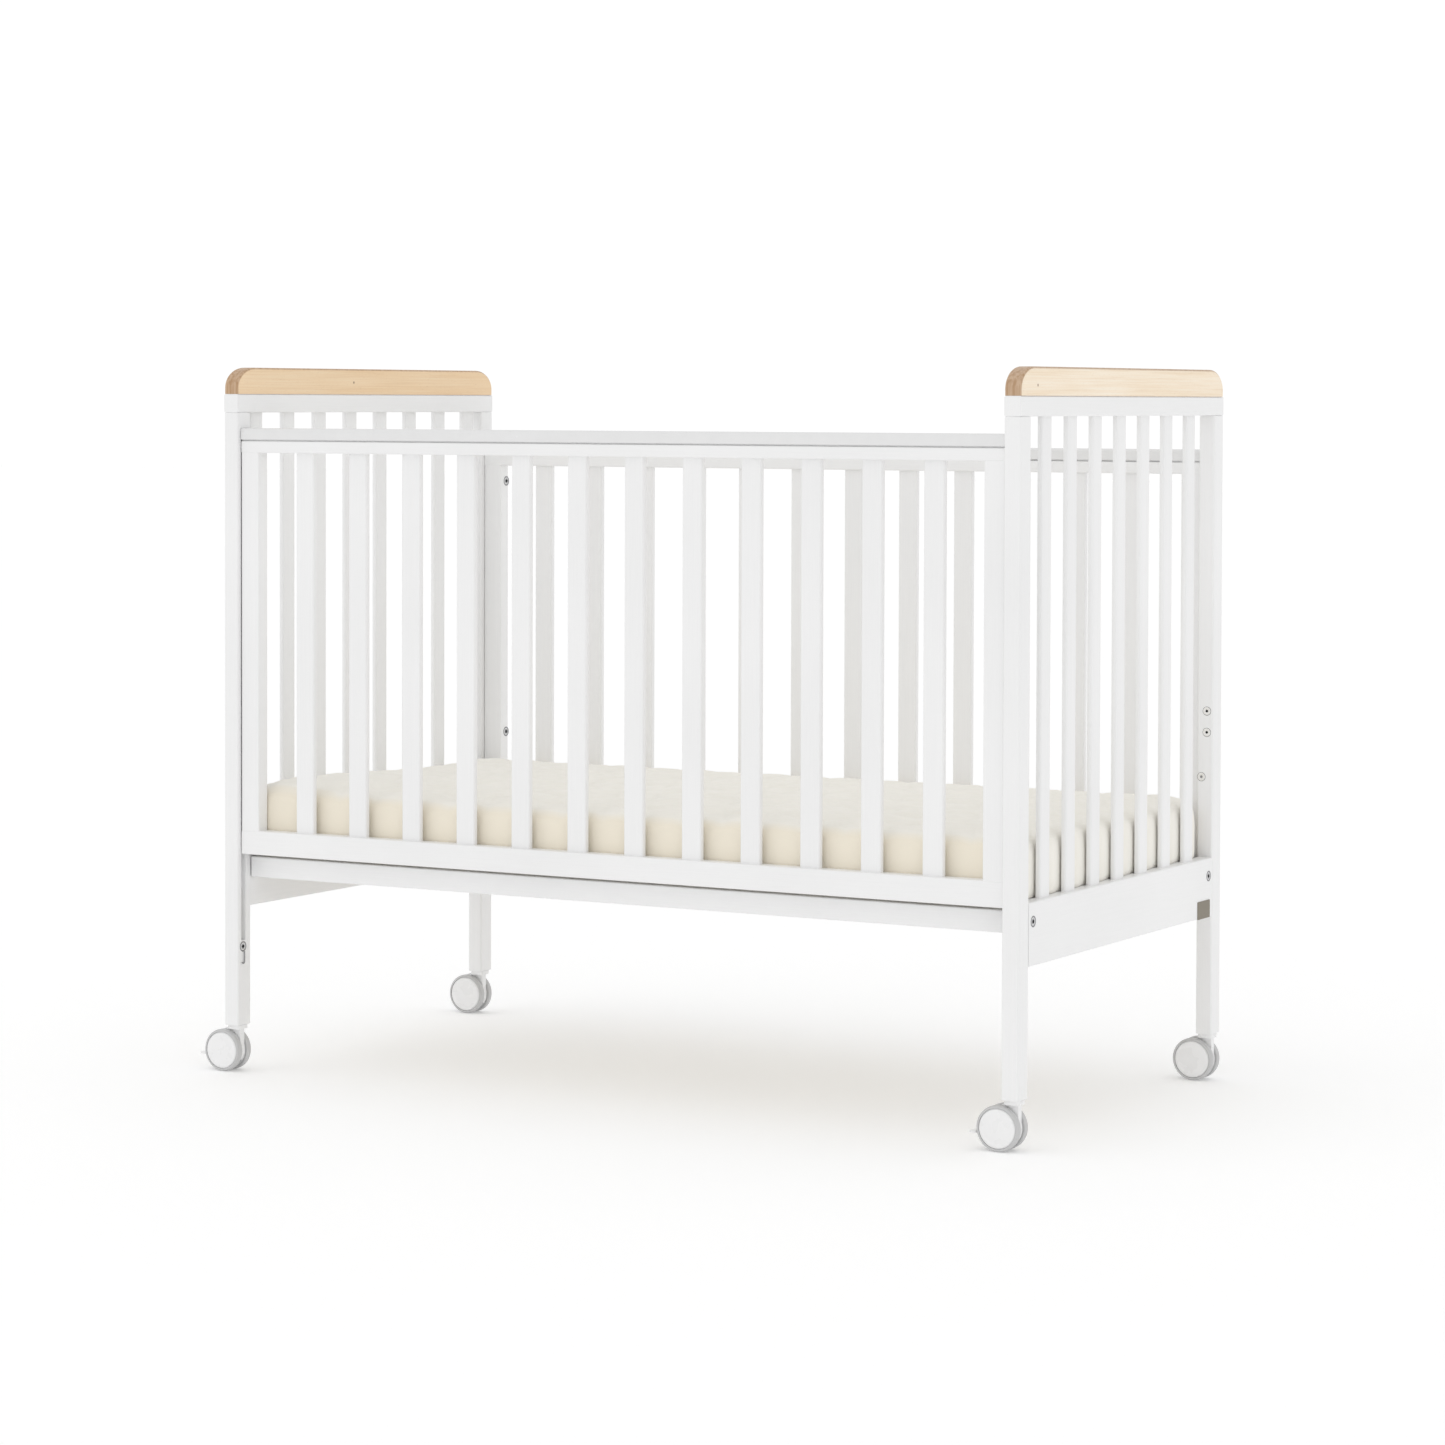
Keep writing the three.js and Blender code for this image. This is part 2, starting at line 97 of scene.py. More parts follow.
class CribFinishes(bpy.types.PropertyGroup):
    """Colours of the finishes."""

    lacquer: colour("Lacquer", "F5F5F5", "White sprayed over the beech")
    timber: colour("Timber", "FDEED8", "Face grain of the caps")
    end_grain: colour("End grain", "C2A283", "Ends of the caps")
    slats: colour("Base slats", "DAD3C8", "Bare planed pine")
    cover: colour("Mattress cover", "FBF8F0", "Quilted cotton top")
    # The border colour is painted shade: it tints the cover's faces towards either side, which sit in
    # shade behind the slats.
    border: colour("Mattress border", "F6EEDD", "Unbleached cotton along both sides")
    tread: colour("Tread", "C9C9C9", "Soft grey tyres")
    teether: colour("Teething strips", "E8E8E8", "Glossy plastic on the rails")
    nylon: colour("Nylon", "F4F4F4", "White caster mouldings")
    acetal: colour("Acetal", "DCDCD8", "Guide strips and pins")


class CribEdges(bpy.types.PropertyGroup):
    """How far each kind of edge is rounded."""

    post: length("Posts", 0.003, "Radius of a post's long edges")
    rail: length("Rails", 0.002, "Radius of a rail's long edges")
    slat: length("Slats", 0.0028, "Radius of a slat's long edges")
    cap: length("Caps", 0.004, "Radius round a cap's faces")
    corner: length("Cap corners", 0.029, "Height of the rounding at a cap's ends")
    sweep: FloatProperty(name="Cap corner sweep", description="How many times longer than high",
                         default=1.45)
    moulding: length("Strips", 0.006, "Radius of a teething strip's top")
    arris: length("Arris", 0.0006, "Sanded ends of every bar")


class CribMattress(bpy.types.PropertyGroup):
    """The mattress's shape."""

    quilt: length("Quilting", 0.062, "Spacing of the stitched lines")
    depth: length("Quilt depth", 0.0042, "How deep the stitching pulls")
    pressure: FloatProperty(name="Pressure", description="Filling's pressure on the cover", default=4.0)
    travel: length("Swell", 0.007, "The furthest the cover may swell")


class CribHardware(bpy.types.PropertyGroup):
    """Bolts, inserts and the plate."""

    bolt: length("Bolt head", 0.0125, "Diameter of a countersunk head")
    socket: length("Socket", 0.0048, "Across the flats of the hexagon")
    insert: length("Insert", 0.0115, "Diameter of an insert's flange")
    plate: FloatVectorProperty(name="Plate", description="Length and height of the blank plate",
                               size=2, default=(0.043, 0.025), subtype="XYZ_LENGTH")


class CribStage(bpy.types.PropertyGroup):
    """Floor, light and lens."""

    floor: colour("Floor", "F8F8F8", "Pale studio floor")
    glow: FloatProperty(name="Floor glow", description="Light that the floor gives", default=0.15)
    sky: FloatProperty(name="Surround", description="Light given by the white surround", default=0.875)
    backdrop: FloatProperty(name="Backdrop", description="Brightness of the white backdrop",
                            default=1.02)
    key: FloatProperty(name="Key light", description="Strength of the large soft light overhead",
                       default=0.16)
    spread: FloatProperty(name="Softness", description="Angle that the soft light fills",
                          default=0.95, subtype="ANGLE")
    lens: FloatProperty(name="Lens", description="Focal length on a 36 mm sensor", default=100.49)


# ---- Shaders ----------------------------------------------------------------------------


def linear(code):
    """An sRGB hex code as linear red, green, blue and alpha."""
    channels = [int(code[i:i + 2], 16) / 255 for i in (0, 2, 4)]
    return [c / 12.92 if c <= 0.04045 else ((c + 0.055) / 1.055) ** 2.4 for c in channels] + [1.0]


def node(tree, kind, settings):
    """Adds one shader node: a setting is an input's value, another node's output, or a property."""
    made = tree.nodes.new(kind)
    for key, value in settings.items():
        if isinstance(value, bpy.types.NodeSocket):
            tree.links.new(value, made.inputs[key])
        elif isinstance(key, int) or key in made.inputs:
            made.inputs[key].default_value = value
        else:
            setattr(made, key, value)
    return made


def along(axis, run, across):
    """Mapping scale for a grain that runs along an axis, from its length and width."""
    scale = [1 / across] * 3
    scale[axis] = 1 / run
    return scale


def noise(tree, place, scale, detail, roughness=0.5):
    """Noise, from how often it repeats in a metre: one number, or three for a grain."""
    if isinstance(scale, list):
        place = node(tree, "ShaderNodeMapping", {"Scale": scale, "Vector": place}).outputs["Vector"]
        scale = 1.0
    return node(tree, "ShaderNodeTexNoise", {"Scale": scale, "Detail": detail, "Roughness": roughness,
                                             "Vector": place}).outputs["Fac"]


def ramp(tree, value, *stops):
    """Colours that follow a value, from (position, sRGB code) stops."""
    made = node(tree, "ShaderNodeValToRGB", {"Fac": value})
    elements = made.color_ramp.elements
    while len(elements) < len(stops):
        elements.new(0.5)
    for element, (position, code) in zip(elements, stops):
        element.position = position
        element.color = linear(code)
    return made.outputs["Color"]


def spread(tree, value, low, high, start=0.0, end=1.0):
    """Goes from low to high while the value goes from start to end."""
    return node(tree, "ShaderNodeMapRange", {"From Min": start, "From Max": end, "To Min": low,
                                             "To Max": high, "Value": value}).outputs["Result"]


def mix(tree, share, first, second, blend="MIX"):
    """Mixes a share of the second colour into the first."""
    return node(tree, "ShaderNodeMix", {"data_type": "RGBA", "blend_type": blend, 0: share, 6: first,
                                        7: second}).outputs[2]


def scaled(tree, tint, share):
    """A colour made lighter or darker."""
    return node(tree, "ShaderNodeVectorMath", {"operation": "SCALE", 0: tint,
                                               "Scale": share}).outputs["Vector"]


def bump(tree, height, strength, distance, more=None):
    """A bumped surface, with any further settings."""
    return node(tree, "ShaderNodeBump", {"Strength": strength, "Distance": distance, "Height": height,
                                         **(more or {})}).outputs["Normal"]


def facing(tree, coordinates, axis):
    """How squarely a face looks along an axis, from 0 to 1."""
    turned_to = node(tree, "ShaderNodeSeparateXYZ", {"Vector": coordinates.outputs["Normal"]})
    return node(tree, "ShaderNodeMath", {"operation": "ABSOLUTE", 0: turned_to.outputs[axis]}).outputs[0]


def finish(name, build):
    """The material called name, whose shader's settings are built the first time it is asked for."""
    found = bpy.data.materials.get(name)
    if found:
        return found
    material = bpy.data.materials.new(name)
    material.use_nodes = True
    tree = material.node_tree
    tree.nodes.clear()
    shader = node(tree, "ShaderNodeBsdfPrincipled", build(tree, node(tree, "ShaderNodeTexCoord", {})))
    node(tree, "ShaderNodeOutputMaterial", {"Surface": shader.outputs["BSDF"]})
    return material


def white_lacquer(axis):
    """Sanded beech under sprayed acrylic lacquer: satin white, with a trace of the grain below."""

    def build(tree, coordinates):
        place = coordinates.outputs["Object"]
        # Beech vessels telegraph through as lines 1.4 mm wide and 70 mm long.
        grain = noise(tree, place, along(axis, 0.07, 0.0014), 4.0, 0.6)
        # Orange peel of the spray coat, drawn at 5 mm so that it shows.
        peel = noise(tree, place, 1 / 0.005, 2.0)
        # Slow drift in film thickness over 300 mm.
        drift = noise(tree, place, 1 / 0.3, 2.0)
        tone = ramp(tree, drift, (0.3, "F1F1F1"), (0.7, bpy.context.scene.crib_finishes.lacquer))
        fibre = ramp(tree, grain, (0.25, "F4F4F4"), (0.6, "FFFFFF"))
        fine = bump(tree, grain, 0.07, 0.0003)
        return {"IOR": 1.49, "Specular IOR Level": 0.5, "Coat Weight": 0.12, "Coat Roughness": 0.22,
                "Base Color": mix(tree, 0.25, tone, fibre, "MULTIPLY"),
                "Roughness": spread(tree, grain, 0.30, 0.44),
                "Normal": bump(tree, peel, 0.05, 0.0004, {"Normal": fine})}

    return finish(f"white_lacquer_grain_{'xyz'[axis]}", build)


def clear_beech():
    """Solid beech, sanded and clear lacquered: warm straw faces with short flecks, browner end grain."""

    def build(tree, coordinates):
        colours = bpy.context.scene.crib_finishes
        place = coordinates.outputs["Object"]
        # Growth rings: lines 2.5 mm apart that wander along the board, faint in beech.
        rings = noise(tree, place, along(Y, 0.16, 0.0025), 4.0, 0.6)
        ringed = ramp(tree, rings, (0.3, "F6E4CB"), (0.5, colours.timber), (0.75, "FFF6E6"))
        # Broad bands of colour, 25 mm wide and 400 mm long.
        broad = noise(tree, place, along(Y, 0.4, 0.025), 3.0)
        banded = ramp(tree, broad, (0.3, "F8F0E4"), (0.65, "FFFFFF"))
        board = mix(tree, 0.85, ringed, banded, "MULTIPLY")
        # Ray flecks: brown dashes 0.6 mm wide and 4 mm long.
        flecks = noise(tree, place, along(Y, 0.0042, 0.0006), 1.0)
        flecked = ramp(tree, flecks, (0.66, "000000"), (0.74, "FFFFFF"))
        share = node(tree, "ShaderNodeMath", {"operation": "MULTIPLY", 0: flecked, 1: 0.3})
        board = mix(tree, share.outputs[0], board, linear("C29C6C"))
        # Painted shade: the tone shifts along X, so the left cap, whose face looks into the crib, is
        # browner and the right one paler.
        spot = node(tree, "ShaderNodeSeparateXYZ", {"Vector": place})
        shade_along_x = spread(tree, spot.outputs["X"], 0.0, 1.0, -0.5, 0.5)
        painted_cap_shade = ramp(tree, shade_along_x, (0.0, "F7E8D3"), (1.0, "FFFFFF"))
        board = mix(tree, 1.0, board, painted_cap_shade, "MULTIPLY")
        # A pin knot, 2 mm across, in each cap's face.
        for centre in PIN_KNOTS:
            far = node(tree, "ShaderNodeVectorMath", {"operation": "DISTANCE", 0: place, 1: centre})
            near = spread(tree, far.outputs["Value"], 0.8, 0.0, 0.0009, 0.0026)
            board = mix(tree, near, board, linear("7A4E28"))
        # The sanded edge all round shows end grain, which drinks the lacquer and turns browner.
        ends = spread(tree, facing(tree, coordinates, X), 0.0, 0.88, 0.97, 0.82)
        # On the ends the rings stand upright, 4 mm apart.
        end_rings = noise(tree, place, along(Z, 0.09, 0.004), 3.0)
        end_tone = ramp(tree, end_rings, (0.35, "A57B52"), (0.6, colours.end_grain))
        return {"IOR": 1.5, "Coat Weight": 0.15, "Coat Roughness": 0.3,
                "Base Color": mix(tree, ends, board, end_tone),
                "Roughness": spread(tree, broad, 0.38, 0.52),
                "Normal": bump(tree, flecks, 0.2, 0.0002)}

    return finish("clear_lacquered_beech", build)


def bare_pine():
    """Planed pine, unfinished and a little greyed, with soft darker summer wood along each slat."""

    def build(tree, coordinates):
        grain = noise(tree, coordinates.outputs["Object"], along(Y, 0.35, 0.006), 5.0, 0.55)
        slats = bpy.context.scene.crib_finishes.slats
        return {"Roughness": 0.68, "IOR": 1.5,
                "Base Color": ramp(tree, grain, (0.3, "C9BDA9"), (0.5, slats), (0.75, "E5DFD5")),
                "Normal": bump(tree, grain, 0.3, 0.0004)}

    return finish("bare_planed_pine", build)


def quilted_cotton():
    """Brushed cotton knit over wadding: matt cream with a soft bloom and a fine rib."""

    def build(tree, coordinates):
        colours = bpy.context.scene.crib_finishes
        place = coordinates.outputs["Object"]
        # Knit ribs 1.6 mm apart, twice the real spacing, so that they show.
        rib = node(tree, "ShaderNodeTexVoronoi", {"Scale": 1 / 0.0016, "Randomness": 0.35,
                                                  "Vector": place}).outputs["Distance"]
        mottle = noise(tree, place, 1 / 0.035, 4.0, 0.6)
        cover = ramp(tree, mottle, (0.3, "F7F4EB"), (0.7, colours.cover))
        # Painted shade: faces towards either side are tinted warmer and darker than the top and ends,
        # standing in for the shade and warm bounce they get behind the slats.
        strip = spread(tree, facing(tree, coordinates, Y), 0.0, 1.0, 0.5, 0.9)
        cover = mix(tree, strip, cover, linear(colours.border))
        # Painted shade: the cover is up to 3.5 % darker in the valleys between the ribs, where the bump
        # pushes in.
        rib_valley_shade = spread(tree, rib, 1.0, 0.965, 0.0, 0.8)
        soft = bump(tree, mottle, 0.15, 0.002)
        return {"Roughness": 0.92, "Sheen Weight": 0.25, "Sheen Roughness": 0.45, "IOR": 1.45,
                "Base Color": scaled(tree, cover, rib_valley_shade),
                "Normal": bump(tree, rib, 0.25, 0.0004, {"Normal": soft, "invert": True})}

    return finish("quilted_cotton_cover", build)


def moulded(name, code, low, high, grit, depth):
    """Moulded plastic or rubber, from its colour, range of roughness, and the grit of its tool."""

    def build(tree, coordinates):
        place = coordinates.outputs["Object"]
        tool = noise(tree, place, 1 / grit, 3.0)
        flow = noise(tree, place, 1 / 0.018, 2.0)
        return {"IOR": 1.5,
                "Base Color": scaled(tree, linear(code)[:3], spread(tree, flow, 0.965, 1.02)),
                "Roughness": spread(tree, flow, low, high),
                "Normal": bump(tree, tool, depth, 0.0002)}

    return finish(name, build)


def nylon():
    """Glass-smooth white nylon: the casters' discs, hoods and levers."""
    return moulded("white_nylon", bpy.context.scene.crib_finishes.nylon, 0.22, 0.34, 0.0015, 0.05)


def teething_plastic():
    """Extruded food-safe plastic, glossy and a shade greyer than the lacquer beside it."""
    grey = bpy.context.scene.crib_finishes.teether
    return moulded("glossy_teething_plastic", grey, 0.2, 0.3, 0.004, 0.04)


def tread_rubber():
    """Soft thermoplastic rubber: matt light grey tyres that grip a hard floor."""
    grey = bpy.context.scene.crib_finishes.tread
    return moulded("grey_tread_rubber", grey, 0.5, 0.68, 0.0008, 0.25)


def acetal():
    """Acetal: slightly waxy off-white guide strips and pins."""
    return moulded("guide_acetal", bpy.context.scene.crib_finishes.acetal, 0.35, 0.5, 0.001, 0.1)


def metal(name, code, roughness, run, across):
    """Metal with fine lines along Y, from its colour and the lines' length and spacing."""

    def build(tree, coordinates):
        lines = noise(tree, coordinates.outputs["Object"], along(Y, run, across), 3.0)
        return {"Metallic": 1.0,
                "Base Color": scaled(tree, linear(code)[:3], spread(tree, lines, 0.85, 1.1)),
                "Roughness": spread(tree, lines, roughness, roughness + 0.15),
                "Normal": bump(tree, lines, 0.15, 0.0001)}

    return finish(name, build)


def zinc_steel():
    """Zinc-plated steel: mid grey with a dull sparkle."""
    return metal("zinc_plated_steel", "9A9A9C", 0.32, 0.002, 0.0006)


def nickel_steel():
    """Bright nickel-plated steel: pale, almost white where it faces the light."""
    return metal("nickel_plated_steel", "F4F3F1", 0.4, 0.002, 0.0006)


def painted_hole_shade():
    """Painted shade: near black, standing in for the unlit depth of a bolt's socket and of an insert's
    hole and the gap round its flange.
    """
    return metal("hole_shade_black", "2A2A2B", 0.55, 0.002, 0.0008)


def brushed_plate():
    """Brushed stainless steel, warm grey, its lines running along the plate."""
    return metal("brushed_stainless_plate", "8C8578", 0.34, 0.02, 0.0003)


def studio_vinyl(settings):
    """Seamless white vinyl, glowing a little from the light behind it, so shadows stay faint."""

    def build(tree, coordinates):
        cloud = noise(tree, coordinates.outputs["Object"], 2.0, 2.0)
        return {"Base Color": linear(settings.floor), "Emission Color": (1, 1, 1, 1),
                "Emission Strength": settings.glow, "Specular IOR Level": 0.1,
                "Roughness": spread(tree, cloud, 0.7, 0.85)}

    return finish("studio_vinyl", build)


# ---- Shaping ----------------------------------------------------------------------------


def put(name, mesh_tool, material, body="root", replaces=(), angle=32):
    """Turns a bmesh into a finished piece that rides on a body."""
    bmesh.ops.recalc_face_normals(mesh_tool, faces=mesh_tool.faces[:])
    mesh = bpy.data.meshes.new(name)
    mesh_tool.to_mesh(mesh)
    mesh_tool.free()
    for item in material if isinstance(material, (list, tuple)) else [material]:
        mesh.materials.append(item)
    mesh.shade_smooth()
    mesh.set_sharp_from_angle(angle=math.radians(angle))
    piece = bpy.data.objects.new(name, mesh)
    bpy.context.scene.collection.objects.link(piece)
    weighted = piece.modifiers.new("Flat faces stay flat", "WEIGHTED_NORMAL")
    weighted.keep_sharp = True
    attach(piece, body)
    if replaces:
        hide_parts(*replaces)
    return piece


def bevel(tool, edges, offset, segments=3):
    """Rounds edges with a circular section."""
    bmesh.ops.bevel(tool, geom=edges, offset=offset, offset_type="OFFSET", affect="EDGES",
                    segments=segments, profile=0.5, material=-1, clamp_overlap=True)


def at(vertex, axis, value):
    """True if the vertex is at a value along an axis."""
    return abs(vertex.co[axis] - value) < 1e-5


def runs(edge, axis):
    """True if the edge has any length along an axis."""
    return abs((edge.verts[0].co - edge.verts[1].co)[axis]) > 1e-6


def new_vertices(made):
    """The vertices among what an extrusion made."""
    return [item for item in made["geom"] if isinstance(item, bmesh.types.BMVert)]


def cut_across(tool, axis, place):
    """Divides everything in a bmesh by the plane that crosses an axis at a place."""
    normal, point = Vector((0, 0, 0)), Vector((0, 0, 0))
    normal[axis], point[axis] = 1, place
    bmesh.ops.bisect_plane(tool, geom=tool.verts[:] + tool.edges[:] + tool.faces[:],
                           plane_co=point, plane_no=normal)


def cube(tool, low, high):
    """Adds a box between two corners and returns its vertices."""
    low, high = Vector(low), Vector(high)
    made = bmesh.ops.create_cube(tool, size=1)["verts"]
    bmesh.ops.scale(tool, vec=high - low, verts=made)
    bmesh.ops.translate(tool, vec=(low + high) / 2, verts=made)
    return made


def edges_of(vertices):
    """Every edge that touches any of the vertices, once each and always in the same order."""
    return list(dict.fromkeys(edge for vertex in vertices for edge in vertex.link_edges))


def ease_ends(tool, known, axis, low, high, size):
    """Bevels the rims of a bar's two end faces."""
    fresh = [v for v in tool.verts if v not in known]
    rims = [e for e in edges_of(fresh)
            if any(all(at(v, axis, place) for v in e.verts) for place in (low, high))
            and len({round(f.normal[axis], 2) for f in e.link_faces}) > 1]
    bevel(tool, rims, size, 2)


def bar(tool, low, high, axis, radius, segments=3, arris=None):
    """Adds a bar between two corners, long edges rounded and end rims eased."""
    known = set(tool.verts)
    made = cube(tool, low, high)
    bevel(tool, [e for e in edges_of(made) if runs(e, axis)], radius, segments)
    tool.normal_update()
    size = bpy.context.scene.crib_edges.arris if arris is None else arris
    ease_ends(tool, known, axis, low[axis], high[axis], size)


def node_bar(node_name, axis, radius, material, body="root", tenon=0.0):
    """A lacquered bar in its node's place, its ends let into the rails by the tenon's length."""
    low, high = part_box(node_name)
    low[axis] -= tenon
    high[axis] += tenon
    tool = bmesh.new()
    bar(tool, low, high, axis, radius)
    return put(f"{node_name}_wood", tool, material, body, [node_name])


def turned(tool, profile, centre, steps=48, axis=(0, 1, 0)):
    """Spins a profile of (radius, distance along the axis) once round the axis through centre."""
    centre, axis = Vector(centre), Vector(axis)
    out = Vector((1, 0, 0)) if abs(axis.x) < 0.5 else Vector((0, 0, 1))
    points = [tool.verts.new(centre + out * r + axis * d) for r, d in profile]
    lines = [tool.edges.new(pair) for pair in zip(points, points[1:])]
    bmesh.ops.spin(tool, geom=points + lines, cent=centre, axis=axis, angle=2 * math.pi, steps=steps,
                   use_merge=True)
    bmesh.ops.remove_doubles(tool, verts=tool.verts[:], dist=1e-6)


def eased_copy(node_name, radius, segments=2, angle=35):
    """A merged copy of a CAD node's mesh with its sharp edges rounded."""
    tool = bmesh.new()
    tool.from_mesh(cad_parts[node_name].data)
    bmesh.ops.remove_doubles(tool, verts=tool.verts[:], dist=2e-5)
    bmesh.ops.dissolve_limit(tool, angle_limit=math.radians(1), verts=tool.verts[:], edges=tool.edges[:])
    sharp = [e for e in tool.edges if e.is_manifold and e.calc_face_angle(0) > math.radians(angle)]
    bevel(tool, sharp, radius, segments)
    return tool


# ---- Pieces -----------------------------------------------------------------------------


def make_post(side, end):
    """A leg and post in one length of beech; the front ones are grooved for the drop side."""
    name = f"post_{side}_{end}"
    low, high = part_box(name)
    edges = bpy.context.scene.crib_edges
    tool = bmesh.new()
    cube(tool, low, high)
    if side == "front":
        strip_low, strip_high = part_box(f"guide_strip_{end}")
        face = high.x if end == "left" else low.x
        slit = 0.0003
        front, back = strip_low.y - slit, strip_high.y + slit
        bottom = strip_low.z - slit
        for axis, place in ((Y, front), (Y, back), (Z, bottom), (Z, GROOVE_TOP)):
            cut_across(tool, axis, place)
        tool.normal_update()
        channel = [f for f in tool.faces
                   if all(at(v, X, face) for v in f.verts)
                   and front < f.calc_center_median().y < back
                   and bottom < f.calc_center_median().z < GROOVE_TOP]
        deep = new_vertices(bmesh.ops.extrude_face_region(tool, geom=channel))
        bmesh.ops.delete(tool, geom=channel, context="FACES_ONLY")
        inward = -GROOVE_DEPTH if end == "left" else GROOVE_DEPTH
        bmesh.ops.translate(tool, vec=(inward, 0, 0), verts=deep)
    corners = [e for e in tool.edges
               if all((at(v, X, low.x) or at(v, X, high.x)) and (at(v, Y, low.y) or at(v, Y, high.y))
                      for v in e.verts) and runs(e, Z)]
    bevel(tool, corners, edges.post, 4)
    tool.normal_update()
    ease_ends(tool, set(), Z, low.z, high.z, edges.arris)
    put(f"{name}_wood", tool, white_lacquer(Z), "root", [name])


def make_cap(end):
    """A solid beech board with swept round corners, eased all round."""
    name = f"cap_{end}"
    low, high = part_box(name)
    edges = bpy.context.scene.crib_edges
    tool = bmesh.new()
    made = cube(tool, (low.x, low.y / edges.sweep, low.z), (high.x, high.y / edges.sweep, high.z))
    upper = [e for e in edges_of(made) if all(at(v, Z, high.z) for v in e.verts) and runs(e, X)]
    bevel(tool, upper, edges.corner, 12)
    bmesh.ops.scale(tool, vec=(1, edges.sweep, 1), verts=tool.verts[:])
    tool.normal_update()
    rims = [e for e in tool.edges if any(abs(f.normal.x) > 0.9 for f in e.link_faces)
            and not all(at(v, Z, low.z) for v in e.verts)]
    bevel(tool, rims, edges.cap, 4)
    tool.normal_update()
    foot = [e for e in tool.edges if all(at(v, Z, low.z) for v in e.verts)]
    foot_radius = 0.0008
    bevel(tool, foot, foot_radius, 2)
    put(f"{name}_board", tool, clear_beech(), "root", [name])


def make_moulding(name, body):
    """A round-topped strip on a narrow tongue, which leaves a shadow line over the rail."""
    low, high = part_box(name)
    gap, step, under_radius = 0.0012, 0.004, 0.0012
    foot = low.z + gap
    tool = bmesh.new()
    cube(tool, (low.x, low.y, foot), high)
    front, back = low.y + step, high.y - step
    for place in (front, back):
        cut_across(tool, Y, place)
    tool.normal_update()
    tongue = [f for f in tool.faces if all(at(v, Z, foot) for v in f.verts)
              and front < f.calc_center_median().y < back]
    grown = new_vertices(bmesh.ops.extrude_face_region(tool, geom=tongue))
    bmesh.ops.delete(tool, geom=tongue, context="FACES_ONLY")
    bmesh.ops.translate(tool, vec=(0, 0, -gap), verts=grown)
    for level, radius, segments in ((high.z, bpy.context.scene.crib_edges.moulding, 6),
                                    (foot, under_radius, 2)):
        rims = [e for e in tool.edges if runs(e, X)
                and all(at(v, Z, level) and (at(v, Y, low.y) or at(v, Y, high.y)) for v in e.verts)]
        bevel(tool, rims, radius, segments)
        tool.normal_update()
    put(f"{name}_strip", tool, teething_plastic(), body, [name])


def make_drop_rail(name):
    """A drop-side rail with a guide pin in each end."""
    low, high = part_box(name)
    stile_low, stile_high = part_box("gate_stile_left")
    reach, root = 0.006, 0.004
    pin, ease = 0.0035, 0.0007
    edges = bpy.context.scene.crib_edges
    tool = bmesh.new()
    bar(tool, (low.x + reach, stile_low.y, low.z), (high.x - reach, stile_high.y, high.z), X, edges.rail)
    put(f"{name}_wood", tool, white_lacquer(X), "gate", [name])
    strip_low, strip_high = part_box("guide_strip_left")
    y = (strip_low.y + strip_high.y) / 2
    z = (low.z + high.z) / 2
    for end, tip, way in (("left", low.x, 1), ("right", high.x, -1)):
        tool = bmesh.new()
        profile = [(0, 0), (pin - ease, 0), (pin, ease), (pin, reach + root), (0, reach + root)]
        turned(tool, profile, (tip, y, z), 24, (way, 0, 0))
        put(f"{name}_pin_{end}", tool, acetal(), "gate")


def make_rear_side():
    """The fixed side: rails, stiles and slats of its own, glued up."""
    low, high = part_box("rear_side_frame")
    edges = bpy.context.scene.crib_edges
    rail_low, rail_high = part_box("gate_bottom_rail")
    lower = rail_low.z - low.z
    rail_top = rail_high.z - lower
    top_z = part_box("gate_top_rail")[0].z - lower
    tool = bmesh.new()
    bar(tool, low, (high.x, high.y, rail_top), X, edges.rail)
    put("rear_bottom_rail_wood", tool, white_lacquer(X), "root", ["rear_side_frame"])
    tool = bmesh.new()
    bar(tool, (low.x, low.y, top_z), high, X, edges.rail)
    put("rear_top_rail_wood", tool, white_lacquer(X), "root")
    for end, start in (("left", low.x), ("right", high.x - REAR_STILE)):
        tool = bmesh.new()
        bar(tool, (start, low.y, rail_top - TENON), (start + REAR_STILE, high.y, top_z + TENON), Z,
            edges.rail)
        put(f"rear_stile_{end}_wood", tool, white_lacquer(Z), "root")
    # The slats stand where the drop side's do, stretched to this side's own opening.
    gate_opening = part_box("gate_stile_right")[0].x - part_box("gate_stile_left")[1].x
    stretch = (high.x - low.x - 2 * REAR_STILE) / gate_opening
    centre = (low.x + high.x) / 2
    inset = 0.007
    for i in range(SIDE_SLATS):
        slat_low, slat_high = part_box(f"gate_slat_{i + 1}")
        middle = centre + ((slat_low.x + slat_high.x) / 2 - centre) * stretch
        half = (slat_high.x - slat_low.x) / 2
        thick = slat_high.y - slat_low.y
        tool = bmesh.new()
        bar(tool, (middle - half, high.y - inset - thick, rail_top - TENON),
            (middle + half, high.y - inset, top_z + TENON), Z, edges.slat)
        put(f"rear_slat_{i + 1}_wood", tool, white_lacquer(Z), "root")


def make_platform():
    """Cross slats on two long battens, all of bare pine."""
    low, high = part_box("mattress_platform")
    width, step = 0.034, 0.001
    side_gap, end_gap = 0.0002, 0.0003
    batten_radius, slat_radius = 0.0012, 0.0016
    tool = bmesh.new()
    for start in (low.y, high.y - width):
        bar(tool, (low.x, start, low.z), (high.x, start + width, high.z - step), X, batten_radius, 2)
    put("platform_battens", tool, bare_pine(), "root", ["mattress_platform"])
    pitch = (high.x - low.x - width) / (PLATFORM_SLATS - 1)
    tool = bmesh.new()
    for i in range(PLATFORM_SLATS):
        start = low.x + i * pitch
        bar(tool, (start + side_gap, low.y + width + end_gap, low.z + step),
            (start + width, high.y - width - end_gap, high.z), Y, slat_radius, 2)
    put("platform_slats", tool, bare_pine(), "root")


